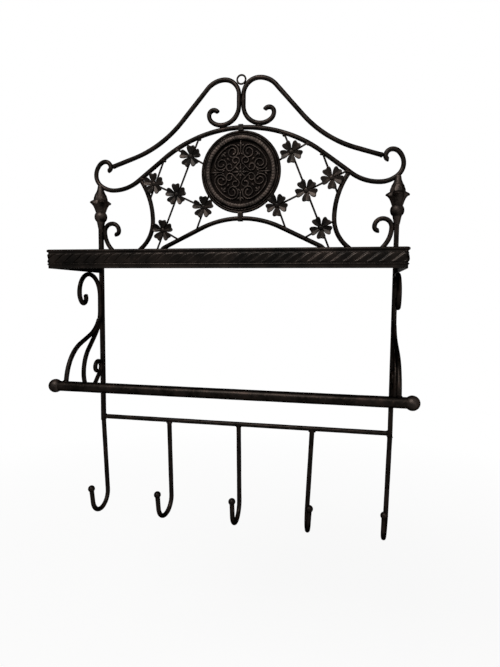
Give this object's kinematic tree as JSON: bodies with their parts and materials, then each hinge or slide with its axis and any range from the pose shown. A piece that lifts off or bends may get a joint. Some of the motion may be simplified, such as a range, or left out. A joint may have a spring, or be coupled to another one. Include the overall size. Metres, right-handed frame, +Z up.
{
  "type": "wall coat rack with shelf",
  "caption": "Wrought-iron wall coat rack with a scrolled crest, pierced medallion, flower lattice, rope-edged shelf, towel bar and ball-tipped hooks.",
  "frame": {"origin": "centre of the hanging eye's bore, in the middle plane of the bars", "axes": "+Z up the wall, +X to the right seen from the front, +Y into the wall, so the front faces -Y"},
  "size_m": [0.445, 0.144, 0.596],
  "materials": {
    "iron_bar": "dark bronze-black satin paint over forged bar",
    "iron_casting": "dark bronze-black satin paint over rough casting",
    "iron_sheet": "dark bronze-black satin paint over pressed sheet"
  },
  "bodies": {
    "root": {"crest_arch": "iron_bar", "swan_necks": "iron_bar", "lower_arch": "iron_bar", "side_arcs": "iron_bar", "small_scrolls": "iron_bar", "left_upright": "iron_bar", "right_upright": "iron_bar", "bracket_scrolls": "iron_bar", "bracket_legs": "iron_bar", "hook_rail": "iron_bar", "hook_1": "iron_bar", "hook_2": "iron_bar", "hook_3": "iron_bar", "hook_4": "iron_bar", "hook_5": "iron_bar", "medallion_hoop": "iron_bar", "steep_wires": "iron_bar", "cross_wires": "iron_bar", "hanging_eye": "iron_bar", "towel_bar": "iron_bar", "medallion": "iron_casting", "finials": "iron_casting", "bar_balls": "iron_casting", "shelf_panel": "iron_sheet", "shelf_band": "iron_sheet", "flowers": "iron_sheet", "top_collar": "iron_sheet", "bottom_collar": "iron_sheet"}
  },
  "joints": []
}
